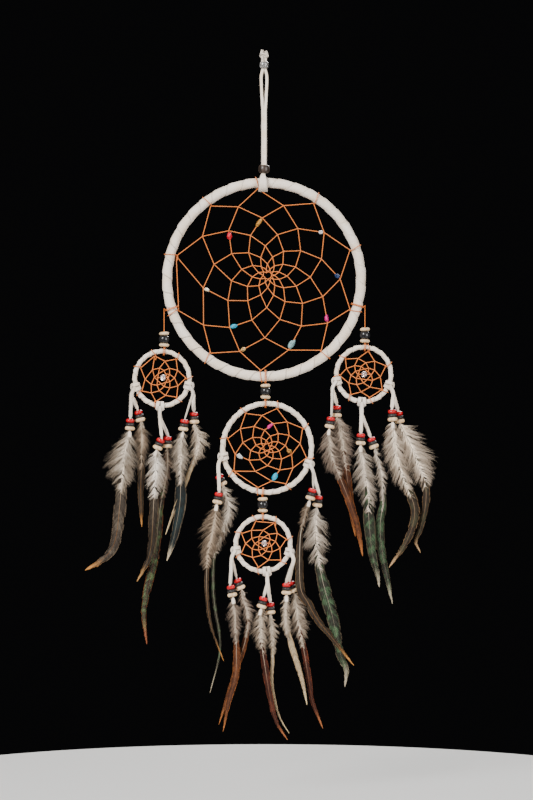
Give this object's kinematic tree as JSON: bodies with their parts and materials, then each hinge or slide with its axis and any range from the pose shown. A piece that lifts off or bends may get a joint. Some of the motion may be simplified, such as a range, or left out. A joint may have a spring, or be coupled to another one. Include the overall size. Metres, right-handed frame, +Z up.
{
  "type": "dream catcher",
  "caption": "Hanging dream catcher: a big suede-wrapped hoop carrying smaller hoops, with woven thread nets, stones, beads and feather tassels on suede laces.",
  "frame": {"origin": "the nail in the hanging loop, just under the glass bead", "axes": "+Z up, +Y to the back along the nail, +X to the right seen from the front"},
  "size_m": [0.3432, 0.0168, 0.6714],
  "materials": {
    "suede_lace": "matte, slightly napped",
    "suede_wrap": "matte, slightly napped",
    "hoop_core": "plain cane",
    "waxed_thread": "waxed, slight sheen",
    "gem_chips": "tumbled, mixed colours",
    "clear_crystal": "faceted, polished",
    "link_beads": "black lacquered balls and bare wood discs",
    "tassel_beads": "red lacquered, black satin and bare wood",
    "glass_bead": "polished",
    "dark_wood_bead": "satin lacquer",
    "feathers": "soft, some green sheen"
  },
  "bodies": {
    "hanger": {"hanging_lace": "suede_lace", "hanger_glass_bead": "glass_bead", "hanger_wood_bead": "dark_wood_bead"},
    "big_hoop": {"big_hoop_ring": "hoop_core", "big_hoop_wrap": "suede_wrap", "big_hoop_net": "waxed_thread", "big_hoop_stones": "gem_chips"},
    "middle_hoop_link": {"middle_hoop_link": "link_beads"},
    "middle_hoop": {"middle_hoop_ring": "hoop_core", "middle_hoop_wrap": "suede_wrap", "middle_hoop_net": "waxed_thread", "middle_hoop_stones": "gem_chips"},
    "left_hoop_link": {"left_hoop_link": "link_beads"},
    "left_hoop": {"left_hoop_ring": "hoop_core", "left_hoop_wrap": "suede_wrap", "left_hoop_net": "waxed_thread", "left_hoop_crystal": "clear_crystal"},
    "right_hoop_link": {"right_hoop_link": "link_beads"},
    "right_hoop": {"right_hoop_ring": "hoop_core", "right_hoop_wrap": "suede_wrap", "right_hoop_net": "waxed_thread", "right_hoop_crystal": "clear_crystal"},
    "bottom_hoop_link": {"bottom_hoop_link": "link_beads"},
    "bottom_hoop": {"bottom_hoop_ring": "hoop_core", "bottom_hoop_wrap": "suede_wrap", "bottom_hoop_net": "waxed_thread", "bottom_hoop_crystal": "clear_crystal"},
    "left_hoop_left_tassel": {"left_hoop_left_lace": "suede_lace", "left_hoop_left_beads": "tassel_beads", "left_hoop_left_feathers": "feathers"},
    "left_hoop_bottom_tassel": {"left_hoop_bottom_lace": "suede_lace", "left_hoop_bottom_beads": "tassel_beads", "left_hoop_bottom_feathers": "feathers"},
    "left_hoop_right_tassel": {"left_hoop_right_lace": "suede_lace", "left_hoop_right_beads": "tassel_beads", "left_hoop_right_feathers": "feathers"},
    "right_hoop_left_tassel": {"right_hoop_left_lace": "suede_lace", "right_hoop_left_beads": "tassel_beads", "right_hoop_left_feathers": "feathers"},
    "right_hoop_bottom_tassel": {"right_hoop_bottom_lace": "suede_lace", "right_hoop_bottom_beads": "tassel_beads", "right_hoop_bottom_feathers": "feathers"},
    "right_hoop_right_tassel": {"right_hoop_right_lace": "suede_lace", "right_hoop_right_beads": "tassel_beads", "right_hoop_right_feathers": "feathers"},
    "middle_hoop_left_tassel": {"middle_hoop_left_lace": "suede_lace", "middle_hoop_left_beads": "tassel_beads", "middle_hoop_left_feathers": "feathers"},
    "middle_hoop_right_tassel": {"middle_hoop_right_lace": "suede_lace", "middle_hoop_right_beads": "tassel_beads", "middle_hoop_right_feathers": "feathers"},
    "bottom_hoop_left_tassel": {"bottom_hoop_left_lace": "suede_lace", "bottom_hoop_left_beads": "tassel_beads", "bottom_hoop_left_feathers": "feathers"},
    "bottom_hoop_bottom_tassel": {"bottom_hoop_bottom_lace": "suede_lace", "bottom_hoop_bottom_beads": "tassel_beads", "bottom_hoop_bottom_feathers": "feathers"},
    "bottom_hoop_right_tassel": {"bottom_hoop_right_lace": "suede_lace", "bottom_hoop_right_beads": "tassel_beads", "bottom_hoop_right_feathers": "feathers"}
  },
  "joints": [
    {"name": "big_hoop_swing", "type": "hinge", "parent": "hanger", "child": "big_hoop", "pos_m": [0, 0, -0.1089], "axis": [1, 0, 0], "range_deg": [-20, 20]},
    {"name": "middle_hoop_link_swing", "type": "hinge", "parent": "big_hoop", "child": "middle_hoop_link", "pos_m": [0.0014, 0, -0.29809], "axis": [1, 0, 0], "range_deg": [-15, 15]},
    {"name": "middle_hoop_swivel", "type": "hinge", "parent": "middle_hoop_link", "child": "middle_hoop", "pos_m": [0.0014, 0, -0.3245], "axis": [0, 0, 1], "range_deg": [-15, 15]},
    {"name": "left_hoop_link_swing", "type": "hinge", "parent": "big_hoop", "child": "left_hoop_link", "pos_m": [-0.09138, 0, -0.22798], "axis": [1, 0, 0], "range_deg": [-15, 15]},
    {"name": "left_hoop_swivel", "type": "hinge", "parent": "left_hoop_link", "child": "left_hoop", "pos_m": [-0.09758, 0, -0.27338], "axis": [0, 0, 1], "range_deg": [-15, 15]},
    {"name": "right_hoop_link_swing", "type": "hinge", "parent": "big_hoop", "child": "right_hoop_link", "pos_m": [0.09218, 0, -0.22478], "axis": [1, 0, 0], "range_deg": [-15, 15]},
    {"name": "right_hoop_swivel", "type": "hinge", "parent": "right_hoop_link", "child": "right_hoop", "pos_m": [0.09848, 0, -0.26938], "axis": [0, 0, 1], "range_deg": [-15, 15]},
    {"name": "bottom_hoop_link_swing", "type": "hinge", "parent": "middle_hoop", "child": "bottom_hoop_link", "pos_m": [-0.0013, 0, -0.41089], "axis": [1, 0, 0], "range_deg": [-15, 15]},
    {"name": "bottom_hoop_swivel", "type": "hinge", "parent": "bottom_hoop_link", "child": "bottom_hoop", "pos_m": [-0.0013, 0, -0.435], "axis": [0, 0, 1], "range_deg": [-15, 15]},
    {"name": "left_hoop_left_tassel_swing", "type": "hinge", "parent": "left_hoop", "child": "left_hoop_left_tassel", "pos_m": [-0.12487, 0, -0.3082], "axis": [1, 0, 0], "range_deg": [-20, 20]},
    {"name": "left_hoop_bottom_tassel_swing", "type": "hinge", "parent": "left_hoop", "child": "left_hoop_bottom_tassel", "pos_m": [-0.10143, 0, -0.32652], "axis": [1, 0, 0], "range_deg": [-20, 20]},
    {"name": "left_hoop_right_tassel_swing", "type": "hinge", "parent": "left_hoop", "child": "left_hoop_right_tassel", "pos_m": [-0.07388, 0, -0.30687], "axis": [1, 0, 0], "range_deg": [-20, 20]},
    {"name": "right_hoop_left_tassel_swing", "type": "hinge", "parent": "right_hoop", "child": "right_hoop_left_tassel", "pos_m": [0.07147, 0, -0.30242], "axis": [1, 0, 0], "range_deg": [-20, 20]},
    {"name": "right_hoop_bottom_tassel_swing", "type": "hinge", "parent": "right_hoop", "child": "right_hoop_bottom_tassel", "pos_m": [0.09542, 0, -0.32252], "axis": [1, 0, 0], "range_deg": [-20, 20]},
    {"name": "right_hoop_right_tassel_swing", "type": "hinge", "parent": "right_hoop", "child": "right_hoop_right_tassel", "pos_m": [0.12176, 0, -0.30638], "axis": [1, 0, 0], "range_deg": [-20, 20]},
    {"name": "middle_hoop_left_tassel_swing", "type": "hinge", "parent": "middle_hoop", "child": "middle_hoop_left_tassel", "pos_m": [-0.0395, 0, -0.37606], "axis": [1, 0, 0], "range_deg": [-20, 20]},
    {"name": "middle_hoop_right_tassel_swing", "type": "hinge", "parent": "middle_hoop", "child": "middle_hoop_right_tassel", "pos_m": [0.04342, 0, -0.38332], "axis": [1, 0, 0], "range_deg": [-20, 20]},
    {"name": "bottom_hoop_left_tassel_swing", "type": "hinge", "parent": "bottom_hoop", "child": "bottom_hoop_left_tassel", "pos_m": [-0.02692, 0, -0.46758], "axis": [1, 0, 0], "range_deg": [-20, 20]},
    {"name": "bottom_hoop_bottom_tassel_swing", "type": "hinge", "parent": "bottom_hoop", "child": "bottom_hoop_bottom_tassel", "pos_m": [0.0027, 0, -0.48794], "axis": [1, 0, 0], "range_deg": [-20, 20]},
    {"name": "bottom_hoop_right_tassel_swing", "type": "hinge", "parent": "bottom_hoop", "child": "bottom_hoop_right_tassel", "pos_m": [0.02444, 0, -0.46938], "axis": [1, 0, 0], "range_deg": [-20, 20]}
  ]
}
